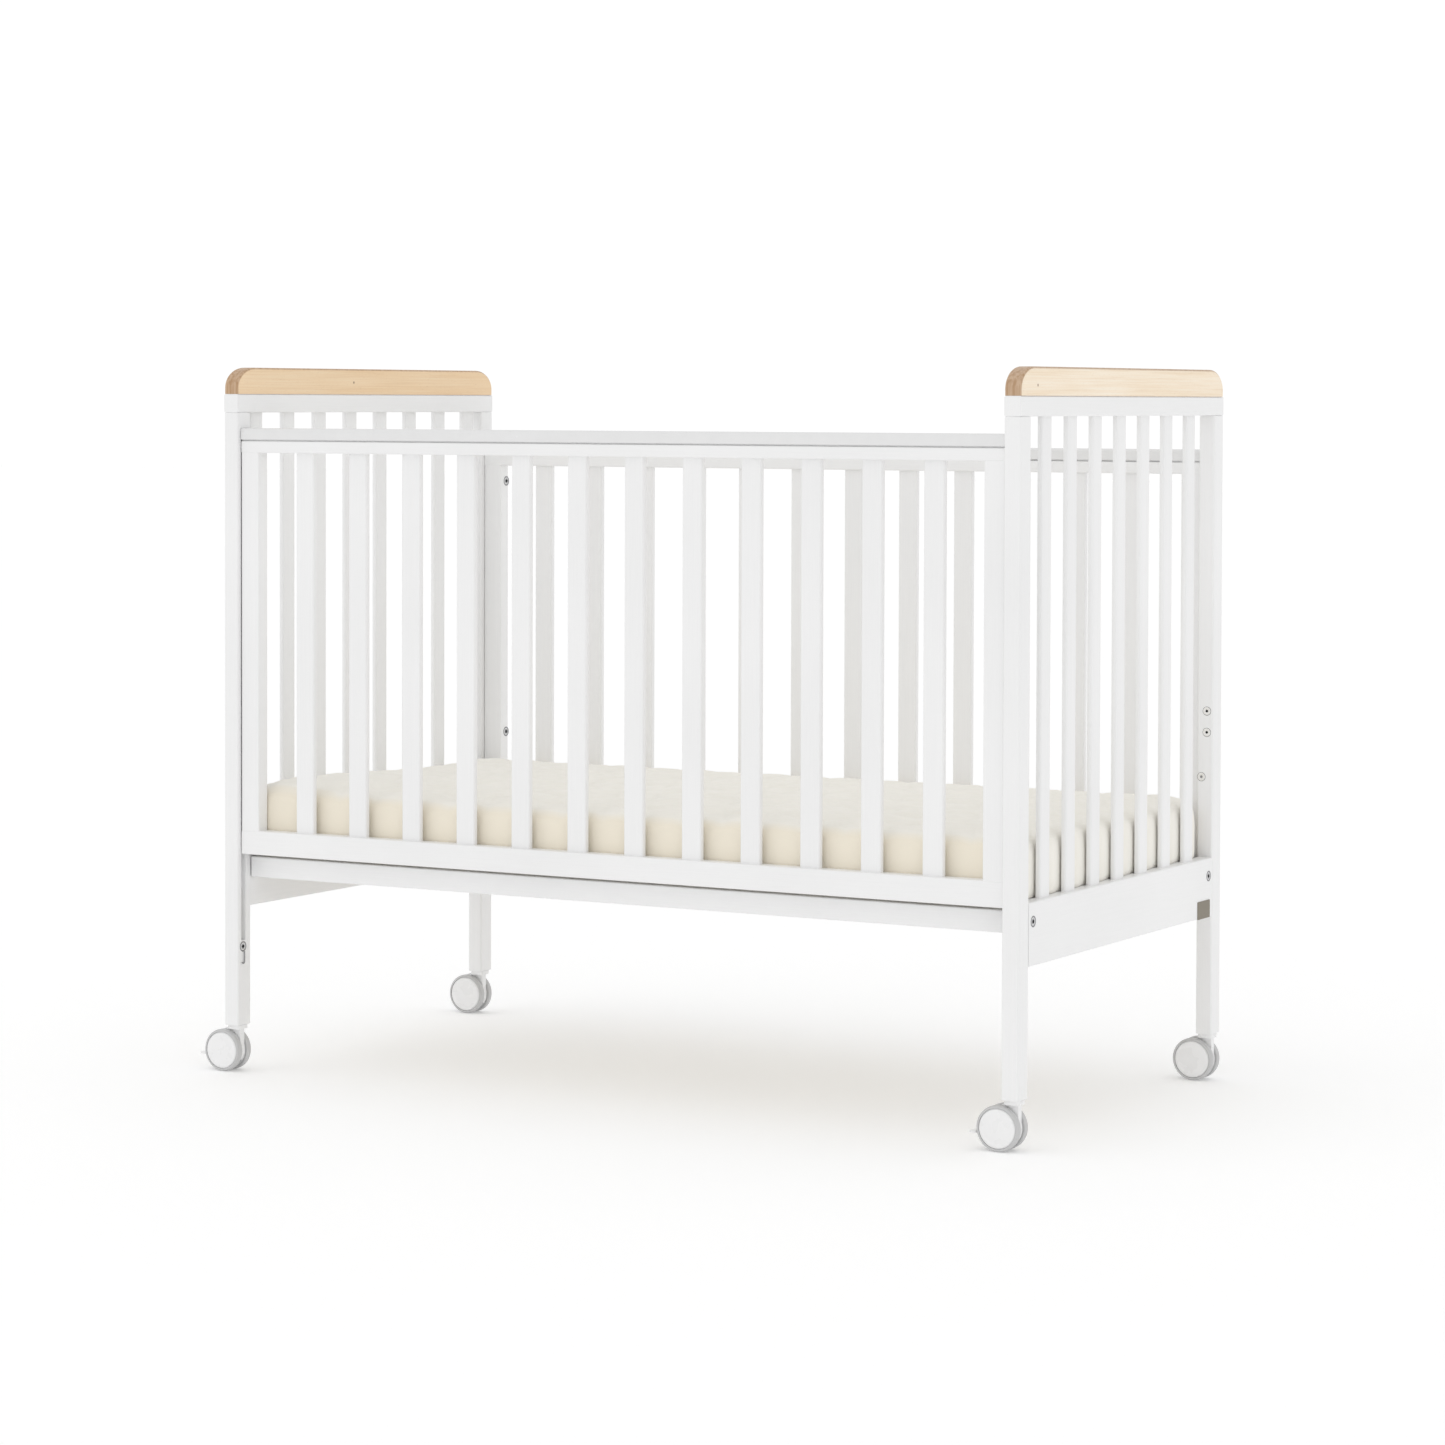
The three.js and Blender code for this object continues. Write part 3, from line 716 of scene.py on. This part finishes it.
def evaluated(piece):
    """The piece's mesh with its modifiers applied."""
    graph = bpy.context.evaluated_depsgraph_get()
    return bpy.data.meshes.new_from_object(piece.evaluated_get(graph))


def smooth_step(value):
    """Goes from 0 to 1 as the value does, with a level start and end."""
    value = max(0.0, min(1.0, value))
    return value * value * (3 - 2 * value)


def swell(piece, low, high, settings):
    """Fills the cover by cloth simulation: its border is taped, so it moves more away from the rim."""
    frames = 20
    border = 0.06
    rest = [v.co.copy() for v in piece.data.vertices]
    cloth = piece.modifiers.new("Cover", "CLOTH")
    cloth.settings.quality = 5
    cloth.settings.mass = 0.3
    cloth.settings.use_pressure = True
    cloth.settings.uniform_pressure_force = settings.pressure
    cloth.settings.effector_weights.gravity = 0
    cloth.settings.shrink_min = -0.015
    cloth.settings.tension_stiffness = 20
    cloth.settings.compression_stiffness = 20
    cloth.settings.bending_stiffness = 1.5
    cloth.point_cache.frame_start = 1
    cloth.point_cache.frame_end = frames
    for number in range(1, frames + 1):
        bpy.context.scene.frame_set(number)
    done = evaluated(piece)
    piece.modifiers.clear()
    piece.data = done
    bpy.context.scene.frame_set(1)
    for vertex, start in zip(done.vertices, rest):
        moved = vertex.co - start
        if moved.length > settings.travel:
            moved *= settings.travel / moved.length
        inside = min(start.x - low.x, high.x - start.x, start.y - low.y, high.y - start.y)
        vertex.co = start + moved * smooth_step(inside / border)


def press_to_bars(mesh, low, high):
    """Presses the cover against the bars round it, and lets it bulge between them."""
    end_bars = {end: [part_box(name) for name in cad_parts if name.startswith(f"end_slat_{end}_")]
                for end in ENDS}
    side_bars = [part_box(f"gate_slat_{i + 1}") for i in range(SIDE_SLATS)]
    # For each wall: its axis and side, its bars, how far the cover reaches, and its bulge between bars.
    walls = [(X, -1, end_bars["left"], 0.0085, 0.0035), (X, 1, end_bars["right"], 0.0085, 0.0035),
             (Y, -1, side_bars, 0.003, 0.0012), (Y, 1, side_bars, 0.004, 0.0012)]
    # The aprons' tops, which the bulging ends rest on.
    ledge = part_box("apron_left")[1].z
    band_low, band_high = low.z + 0.003, ledge + 0.004
    clear = 0.0004
    foot = 0.004
    fade = 0.03
    for axis, way, bars, press, bulge in walls:
        other = Y if axis == X else X
        edge = high[axis] if way > 0 else low[axis]
        centres = [(start[other] + end[other]) / 2 for start, end in bars]
        half = (bars[0][1][other] - bars[0][0][other]) / 2
        reach = (max(centres) - min(centres)) / (len(centres) - 1) / 2 - half
        for vertex in mesh.vertices:
            depth = (edge - vertex.co[axis]) * way
            if depth > fade:
                continue
            rise = max(0.5, min(1.0, (vertex.co.z - low.z) / (high.z - low.z)))
            belly = max(0.0, math.sin(math.pi * rise)) ** 0.3 * smooth_step((vertex.co.z - low.z) / foot)
            place = vertex.co[other]
            corner = smooth_step(min(place - low[other], high[other] - place) / fade)
            lobe = smooth_step((min(abs(place - centre) for centre in centres) - half) / reach)
            give = belly * corner * smooth_step(1 - depth / fade) * (press + bulge * lobe)
            vertex.co[axis] += way * give
            if axis == X and band_low < vertex.co.z < band_high and belly > 0.9:
                vertex.co.z = ledge + clear


def make_mattress():
    """A foam mattress in a quilted cover, crowned on top and pressed against the bars round it."""
    low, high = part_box("mattress")
    settings = bpy.context.scene.crib_mattress
    shy, corner, rim, voxel = 0.001, 0.022, 0.015, 0.0085
    tool = bmesh.new()
    made = cube(tool, low, high - Vector((0, 0, shy)))
    bevel(tool, [e for e in edges_of(made) if runs(e, Z)], corner, 5)
    tool.normal_update()
    middle = (low.z + high.z) / 2
    rims = [e for e in tool.edges if len({round(f.normal.z) for f in e.link_faces}) > 1
            and e.verts[0].co.z > middle]
    bevel(tool, rims, rim, 4)
    mesh = bpy.data.meshes.new("mattress_cover")
    tool.to_mesh(mesh)
    tool.free()
    piece = bpy.data.objects.new("mattress_cover", mesh)
    bpy.context.scene.collection.objects.link(piece)
    remesh = piece.modifiers.new("Even cloth", "REMESH")
    remesh.mode = "VOXEL"
    remesh.voxel_size = voxel
    piece.data = evaluated(piece)
    piece.modifiers.clear()
    swell(piece, low, high, settings)
    smooth = piece.modifiers.new("Finer cloth", "SUBSURF")
    smooth.levels = smooth.render_levels = 1
    piece.data = evaluated(piece)
    piece.modifiers.clear()
    quilt_cover(piece.data, low, high, settings)
    press_to_bars(piece.data, low, high)
    piece.data.materials.clear()
    piece.data.materials.append(quilted_cotton())
    piece.data.shade_smooth()
    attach(piece, "root")
    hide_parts("mattress")


def quilt_cover(mesh, low, high, settings):
    """Sews wavy channels both ways into the top, and sets the base on its slats."""
    base, ceiling = low.z + 0.0002, high.z + 0.014
    start, blend = high.z - 0.03, 0.02
    pitch = settings.quilt
    sway, wave = 0.010, 2.2 * pitch
    # The front left corner is fuller than the rest, as if lifted when the mattress was laid in.
    lift, lift_x, lift_y = 0.012, low.x + 0.04, low.y + 0.08
    lift_long, lift_wide = 0.13, 0.17
    crease = 0.0012
    for vertex in mesh.vertices:
        x, y, z = vertex.co
        flat = max(0.0, min(1.0, (z - start) / blend))
        bend = sway * math.sin(2 * math.pi * y / wave)
        turn = sway * math.sin(2 * math.pi * x / wave)
        across = abs(math.sin(math.pi * (x + bend) / pitch))
        down = abs(math.sin(math.pi * (y + turn) / pitch))
        pad = math.sqrt(max(0.0, min(across, down)))
        rumple = (crease * math.sin(23 * x + 3 * math.sin(17 * y))
                  * math.sin(19 * y + 2 * math.sin(11 * x)))
        fuller = lift * math.exp(-((x - lift_x) / lift_long) ** 2 - ((y - lift_y) / lift_wide) ** 2)
        vertex.co.z += flat * (settings.depth * (pad - 0.55) + rumple + fuller)
        vertex.co.z = max(base, min(ceiling, vertex.co.z))


def make_caster(side, end):
    """A twin-wheel caster: hood between two wheels, each a tyre round a domed disc."""
    tag = f"{side}_{end}"
    wheels = f"caster_wheels_{tag}"
    low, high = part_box(wheels)
    centre = (low + high) / 2
    hood_radius, lever_radius, axle_radius = 0.0009, 0.0005, 0.0035
    tool = eased_copy(f"caster_hood_{tag}", hood_radius)
    put(f"hood_{tag}", tool, nylon(), f"caster_{tag}", [f"caster_hood_{tag}"])
    # Each wheel's two faces, measured from the middle of the pair, and the radius its tyre sits at.
    inner, outer = 0.006, 0.017
    seat = 0.0261
    section = [(seat, inner), (0.0288, inner), (0.0296, inner + 0.0006), (0.03, inner + 0.0018),
               (0.03, outer - 0.0042), (0.0297, outer - 0.0028), (0.0288, outer - 0.0014),
               (0.0276, outer - 0.0005), (0.0268, outer - 0.0003), (seat, outer - 0.0008),
               (seat, inner)]
    cover = [(0.0, outer), (0.008, outer - 0.0001), (0.016, outer - 0.0004), (0.0225, outer - 0.0006),
             (0.0248, outer - 0.0010), (0.0255, outer - 0.0016), (0.0256, outer - 0.0023),
             (0.0260, outer - 0.0025), (0.0260, inner + 0.0002), (0.0245, inner + 0.0003),
             (0.0238, inner + 0.0028), (0.009, inner + 0.0028), (0.0075, inner + 0.0002),
             (0.0, inner + 0.0002)]
    tyre = bmesh.new()
    disc = bmesh.new()
    for way in (-1, 1):
        turned(tyre, [(r, way * d) for r, d in section], centre, 64)
        turned(disc, [(r, way * d) for r, d in cover], centre, 64)
    put(f"tyres_{tag}", tyre, tread_rubber(), f"wheels_{tag}", [wheels])
    put(f"wheel_discs_{tag}", disc, nylon(), f"wheels_{tag}")
    axle = bmesh.new()
    turned(axle, [(0, -inner), (axle_radius, -inner), (axle_radius, inner), (0, inner)], centre, 24)
    put(f"axle_{tag}", axle, zinc_steel(), f"wheels_{tag}")
    if side == "front":
        tool = eased_copy(f"brake_lever_{tag}", lever_radius)
        put(f"lever_{tag}", tool, nylon(), f"lever_{tag}", [f"brake_lever_{tag}"])


def make_bolt(name, centre, axis, body="root"):
    """A countersunk bolt head with a hexagon socket, set in a shallow bright collar."""
    settings = bpy.context.scene.crib_hardware
    centre, axis = Vector(centre), Vector(axis)
    head = settings.bolt / 2
    # A hexagon's corners are 0.58 of the way across its flats from its middle.
    socket, rim = settings.socket * 0.58, settings.socket * 0.62
    tool = bmesh.new()
    profile = [(head + 0.0012, -0.0002), (head + 0.0012, 0.0003), (head + 0.0004, 0.0006),
               (head - 0.0004, 0.0004), (head - 0.0012, -0.0001), (rim, 0.0001), (socket, -0.0004),
               (0, -0.0004)]
    turned(tool, profile, centre, 40, axis)
    put(name, tool, zinc_steel(), body)
    # The socket is a thin near-black hexagon at the surface: painted shade standing in for a real
    # socket's depth.
    thick = 0.0004
    tool = bmesh.new()
    bmesh.ops.create_circle(tool, cap_ends=True, segments=6, radius=socket)
    grown = new_vertices(bmesh.ops.extrude_face_region(tool, geom=tool.faces[:]))
    bmesh.ops.translate(tool, vec=(0, 0, thick), verts=grown)
    turn = Vector((0, 0, 1)).rotation_difference(axis).to_matrix()
    bmesh.ops.rotate(tool, cent=(0, 0, 0), matrix=turn, verts=tool.verts[:])
    bmesh.ops.translate(tool, vec=centre - axis * thick / 2, verts=tool.verts[:])
    put(f"{name}_socket", tool, painted_hole_shade(), body)


def make_insert(name, centre, axis, through=True):
    """A threaded insert: its bright flange ringed with painted shade where a counterbore a little wider
    would be, its hole shown open by a disc of painted shade, or plugged.
    """
    settings = bpy.context.scene.crib_hardware
    flange = settings.insert / 2
    hole, gap = 0.0019, 0.0005
    # Levels above the wood for the dark hole and the dark ring, both painted shade, and for a plug, and
    # the depth all three start at.
    dark, ring, plug, depth = 0.00005, 0.00006, 0.0003, -0.0004
    tool = bmesh.new()
    profile = [(flange, -0.0003), (flange, 0.0003), (flange - 0.0007, 0.0008), (hole + 0.0005, 0.0006),
               (hole, 0.0002), (hole, -0.0003), (flange, -0.0003)]
    turned(tool, profile, centre, 40, axis)
    put(name, tool, nickel_steel())
    tool = bmesh.new()
    if through:
        turned(tool, [(0, dark), (hole, dark), (hole, depth), (0, depth)], centre, 32, axis)
    turned(tool, [(flange, ring), (flange + gap, ring), (flange + gap, depth), (flange, depth),
                  (flange, ring)], centre, 40, axis)
    put(f"{name}_hole", tool, painted_hole_shade())
    if not through:
        tool = bmesh.new()
        turned(tool, [(0, plug), (hole, plug), (hole, depth), (0, depth)], centre, 32, axis)
        put(f"{name}_plug", tool, zinc_steel())


def make_plate():
    """A small blank metal plate at the rear lower corner of the right apron."""
    settings = bpy.context.scene.crib_hardware
    low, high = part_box("apron_right")
    along_apron, height = settings.plate
    sunk, thick, from_end, below = 0.0003, 0.0013, 0.009, 0.0005
    corner, arris = 0.0014, 0.0004
    tool = bmesh.new()
    start = Vector((high.x - sunk, high.y - from_end - along_apron, low.z - below))
    bar(tool, start, start + Vector((thick, along_apron, height)), X, corner, 3, arris)
    put("metal_plate", tool, brushed_plate())


def make_guides(end):
    """The strip on the groove's floor, the stop screw below it and its wire hook."""
    name = f"guide_strip_{end}"
    low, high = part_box(name)
    tool = bmesh.new()
    radius, arris = 0.0004, 0.0003
    bar(tool, low, high, Z, radius, 2, arris)
    put(f"{name}_moulding", tool, acetal(), "root", [name])
    post_low, post_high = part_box(f"post_front_{end}")
    face = post_high.x if end == "left" else post_low.x
    out = 1 if end == "left" else -1
    screw = Vector((face, (low.y + high.y) / 2 - 0.001, low.z - 0.009))
    make_bolt(f"stop_screw_{end}", screw, (out, 0, 0))
    # The hook: a wire that drops from beside the screw and curls back under itself.
    wire, drop, curl = 0.0009, 0.014, 0.003
    offset = Vector((out * 0.0016, 0.0015, -0.007))
    tool = bmesh.new()
    ring = bmesh.ops.create_circle(tool, segments=10, radius=wire)["verts"]
    bmesh.ops.translate(tool, vec=screw + offset, verts=ring)
    tips = new_vertices(bmesh.ops.extrude_edge_only(tool, edges=tool.edges[:]))
    bmesh.ops.translate(tool, vec=(0, 0, -drop), verts=tips)
    foot = [e for e in tool.edges if all(v in tips for v in e.verts)]
    curl_at = sum((v.co for v in tips), Vector()) / len(tips) + Vector((0, -curl, 0))
    bmesh.ops.spin(tool, geom=foot + tips, cent=curl_at, axis=(1, 0, 0), angle=-math.pi * 0.8, steps=8)
    bmesh.ops.holes_fill(tool, edges=[e for e in tool.edges if e.is_boundary], sides=0)
    put(f"guide_hook_{end}", tool, zinc_steel())


# ---- Operators --------------------------------------------------------------------------


class CRIB_OT_end_panels(bpy.types.Operator):
    """Build both end panels: posts, top rails, aprons, slats and timber caps"""

    bl_idname = "crib.end_panels"
    bl_label = "End panels"

    def execute(self, context):
        edges = context.scene.crib_edges
        for side, end in CORNERS:
            make_post(side, end)
        for end in ENDS:
            node_bar(f"end_top_rail_{end}", Y, edges.rail, white_lacquer(Y))
            node_bar(f"apron_{end}", Y, edges.rail, white_lacquer(Y))
            make_cap(end)
            slats = [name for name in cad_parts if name.startswith(f"end_slat_{end}_")]
            for name in sorted(slats):
                node_bar(name, Z, edges.slat, white_lacquer(Z), tenon=TENON)
        return {"FINISHED"}


class CRIB_OT_drop_side(bpy.types.Operator):
    """Build the drop side: teething strip, rails with guide pins, stiles and slats"""

    bl_idname = "crib.drop_side"
    bl_label = "Drop side"

    def execute(self, context):
        edges = context.scene.crib_edges
        make_moulding("gate_moulding", "gate")
        make_drop_rail("gate_top_rail")
        make_drop_rail("gate_bottom_rail")
        for end in ENDS:
            node_bar(f"gate_stile_{end}", Z, edges.rail, white_lacquer(Z), "gate", TENON)
        for i in range(SIDE_SLATS):
            node_bar(f"gate_slat_{i + 1}", Z, edges.slat, white_lacquer(Z), "gate", TENON)
        return {"FINISHED"}


class CRIB_OT_rear_side(bpy.types.Operator):
    """Build the fixed rear side and its teething strip"""

    bl_idname = "crib.rear_side"
    bl_label = "Rear side"

    def execute(self, context):
        make_rear_side()
        make_moulding("rear_moulding", "root")
        return {"FINISHED"}


class CRIB_OT_base(bpy.types.Operator):
    """Build the base rails and the slatted platform"""

    bl_idname = "crib.base"
    bl_label = "Mattress base"

    def execute(self, context):
        for side in SIDES:
            node_bar(f"base_rail_{side}", X, context.scene.crib_edges.rail, white_lacquer(X))
        make_platform()
        return {"FINISHED"}


class CRIB_OT_mattress(bpy.types.Operator):
    """Make the quilted mattress"""

    bl_idname = "crib.mattress"
    bl_label = "Mattress"

    def execute(self, context):
        make_mattress()
        return {"FINISHED"}


class CRIB_OT_casters(bpy.types.Operator):
    """Build the four twin-wheel casters and the front brake levers"""

    bl_idname = "crib.casters"
    bl_label = "Casters"

    def execute(self, context):
        for side, end in CORNERS:
            make_caster(side, end)
        return {"FINISHED"}


class CRIB_OT_hardware(bpy.types.Operator):
    """Fit the guide strips, bolts, inserts and the blank plate"""

    bl_idname = "crib.hardware"
    bl_label = "Hardware"

    def execute(self, context):
        for end in ENDS:
            make_guides(end)
            out = -1 if end == "left" else 1
            low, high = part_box(f"apron_{end}")
            face = high.x if end == "right" else low.x
            for side, inward in (("front", 0.0025), ("rear", -0.0025)):
                rail_low, rail_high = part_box(f"base_rail_{side}")
                y = (rail_low.y + rail_high.y) / 2 + inward
                make_bolt(f"apron_bolt_{side}_{end}", (face, y, APRON_BOLT_Z), (out, 0, 0))
            side_low, side_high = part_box("rear_side_frame")
            stile = side_low.x + REAR_STILE if end == "left" else side_high.x - REAR_STILE
            for place, z in STILE_BOLT_Z.items():
                make_bolt(f"stile_bolt_{place}_{end}", (stile, side_high.y - STILE_BOLT_IN, z),
                          (-out, 0, 0))
        post_low, post_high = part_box("post_rear_right")
        middle = (post_low.x + post_high.x) / 2
        for place, (shift, z) in POST_INSERTS.items():
            centre = (middle + shift, post_low.y, z)
            make_insert(f"post_insert_{place}", centre, (0, -1, 0), place != "low")
        make_plate()
        return {"FINISHED"}


class CRIB_OT_stage(bpy.types.Operator):
    """Set the floor, the soft light and the camera"""

    bl_idname = "crib.stage"
    bl_label = "Stage"

    def execute(self, context):
        scene = context.scene
        settings = scene.crib_stage
        tool = bmesh.new()
        bmesh.ops.create_grid(tool, x_segments=8, y_segments=8, size=40)
        mesh = bpy.data.meshes.new("studio_floor")
        tool.to_mesh(mesh)
        tool.free()
        floor = bpy.data.objects.new("studio_floor", mesh)
        scene.collection.objects.link(floor)
        mesh.materials.append(studio_vinyl(settings))
        scene.view_settings.view_transform = "Standard"
        scene.view_settings.look = "None"
        world = bpy.data.worlds.new("white_surround")
        scene.world = world
        world.use_nodes = True
        tree = world.node_tree
        ray = node(tree, "ShaderNodeLightPath", {})
        strength = spread(tree, ray.outputs["Is Camera Ray"], settings.sky, settings.backdrop)
        tree.nodes["Background"].inputs["Color"].default_value = (1, 1, 1, 1)
        tree.links.new(strength, tree.nodes["Background"].inputs["Strength"])
        lamp = bpy.data.lights.new("soft_key", "SUN")
        lamp.energy = settings.key
        lamp.angle = settings.spread
        holder = bpy.data.objects.new("soft_key", lamp)
        scene.collection.objects.link(holder)
        holder.matrix_world = Vector(KEY_FROM).to_track_quat("Z", "Y").to_matrix().to_4x4()
        camera = bpy.data.cameras.new("camera")
        camera.sensor_width = 36
        camera.lens = settings.lens
        camera.shift_y = CAMERA_SHIFT
        camera.clip_end = 200
        holder = bpy.data.objects.new("camera", camera)
        scene.collection.objects.link(holder)
        turn = (Matrix.Rotation(CAMERA_HEADING, 4, "Z")
                @ Matrix.Rotation(math.pi / 2 - CAMERA_DIP, 4, "X")
                @ Matrix.Rotation(CAMERA_ROLL, 4, "Z"))
        holder.matrix_world = Matrix.Translation(CAMERA_PLACE) @ turn
        scene.camera = holder
        return {"FINISHED"}


class CRIB_PT_panel(bpy.types.Panel):
    """Lists the crib's pieces in the sidebar"""

    bl_label = "Baby crib"
    bl_idname = "CRIB_PT_panel"
    bl_space_type = "VIEW_3D"
    bl_region_type = "UI"
    bl_category = "Crib"

    def draw(self, context):
        for operator in OPERATORS:
            self.layout.operator(operator.bl_idname)


GROUPS = {
    "crib_finishes": CribFinishes,
    "crib_edges": CribEdges,
    "crib_mattress": CribMattress,
    "crib_hardware": CribHardware,
    "crib_stage": CribStage,
}
OPERATORS = [
    CRIB_OT_end_panels,
    CRIB_OT_drop_side,
    CRIB_OT_rear_side,
    CRIB_OT_base,
    CRIB_OT_mattress,
    CRIB_OT_casters,
    CRIB_OT_hardware,
    CRIB_OT_stage,
]


def register():
    for group in [*GROUPS.values(), *OPERATORS, CRIB_PT_panel]:
        bpy.utils.register_class(group)
    for name, group in GROUPS.items():
        setattr(bpy.types.Scene, name, PointerProperty(type=group))


def unregister():
    for name in GROUPS:
        delattr(bpy.types.Scene, name)
    for group in [CRIB_PT_panel, *reversed(OPERATORS), *GROUPS.values()]:
        bpy.utils.unregister_class(group)


def main():
    """Builds every piece in order."""
    register()
    bpy.ops.crib.end_panels()
    bpy.ops.crib.drop_side()
    bpy.ops.crib.rear_side()
    bpy.ops.crib.base()
    bpy.ops.crib.mattress()
    bpy.ops.crib.casters()
    bpy.ops.crib.hardware()
    bpy.ops.crib.stage()


if __name__ == "__main__":
    main()
